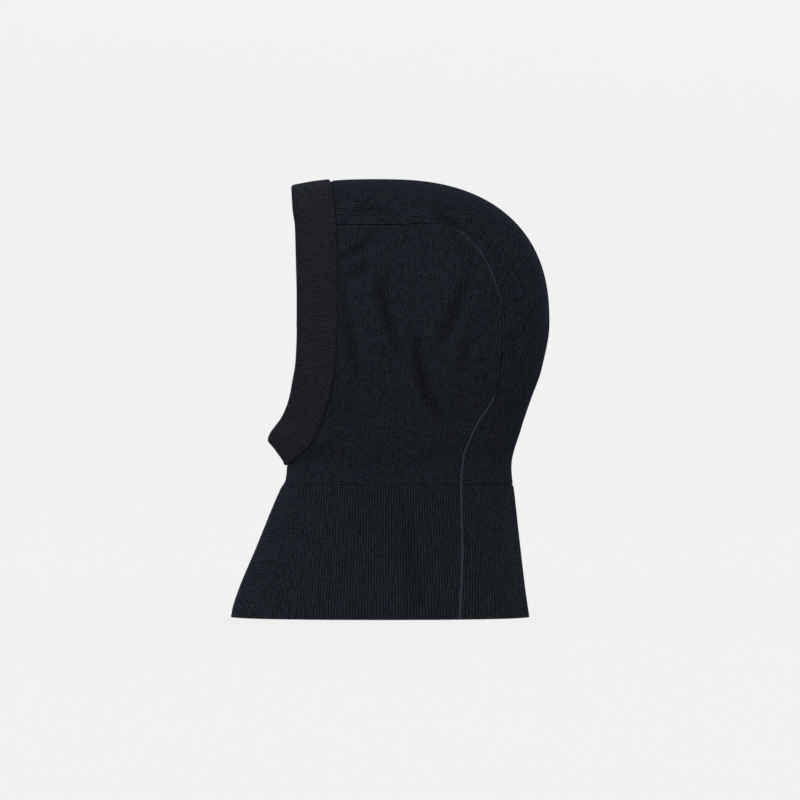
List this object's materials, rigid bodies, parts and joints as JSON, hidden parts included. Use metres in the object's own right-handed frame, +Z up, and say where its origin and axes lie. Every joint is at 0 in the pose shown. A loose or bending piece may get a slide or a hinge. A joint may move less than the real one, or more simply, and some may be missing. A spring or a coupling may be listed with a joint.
{
  "type": "balaclava",
  "caption": "Fine-knit wool balaclava with a wide doubled rib band round the face opening and a flared ribbed neck.",
  "frame": {"origin": "on the surface the hem stands on, under the middle of the outline", "axes": "+Z up from the hem to the crown, -Y the way the face looks, +X the wearer's left"},
  "size_m": [0.1764, 0.2544, 0.3499],
  "materials": {
    "jersey_knit": "matte",
    "rib_knit": "matte",
    "seam_yarn": "matte"
  },
  "bodies": {
    "root": {"left_side_panel": "jersey_knit", "right_side_panel": "jersey_knit", "crown_panel": "jersey_knit", "left_neck_rib": "rib_knit", "right_neck_rib": "rib_knit", "back_neck_rib": "rib_knit", "face_band": "rib_knit", "left_panel_seam": "seam_yarn", "right_panel_seam": "seam_yarn", "left_neck_seam": "seam_yarn", "right_neck_seam": "seam_yarn", "back_neck_seam": "seam_yarn", "front_seam": "seam_yarn", "band_joining_seam": "seam_yarn", "band_closing_seam": "seam_yarn"}
  },
  "joints": []
}
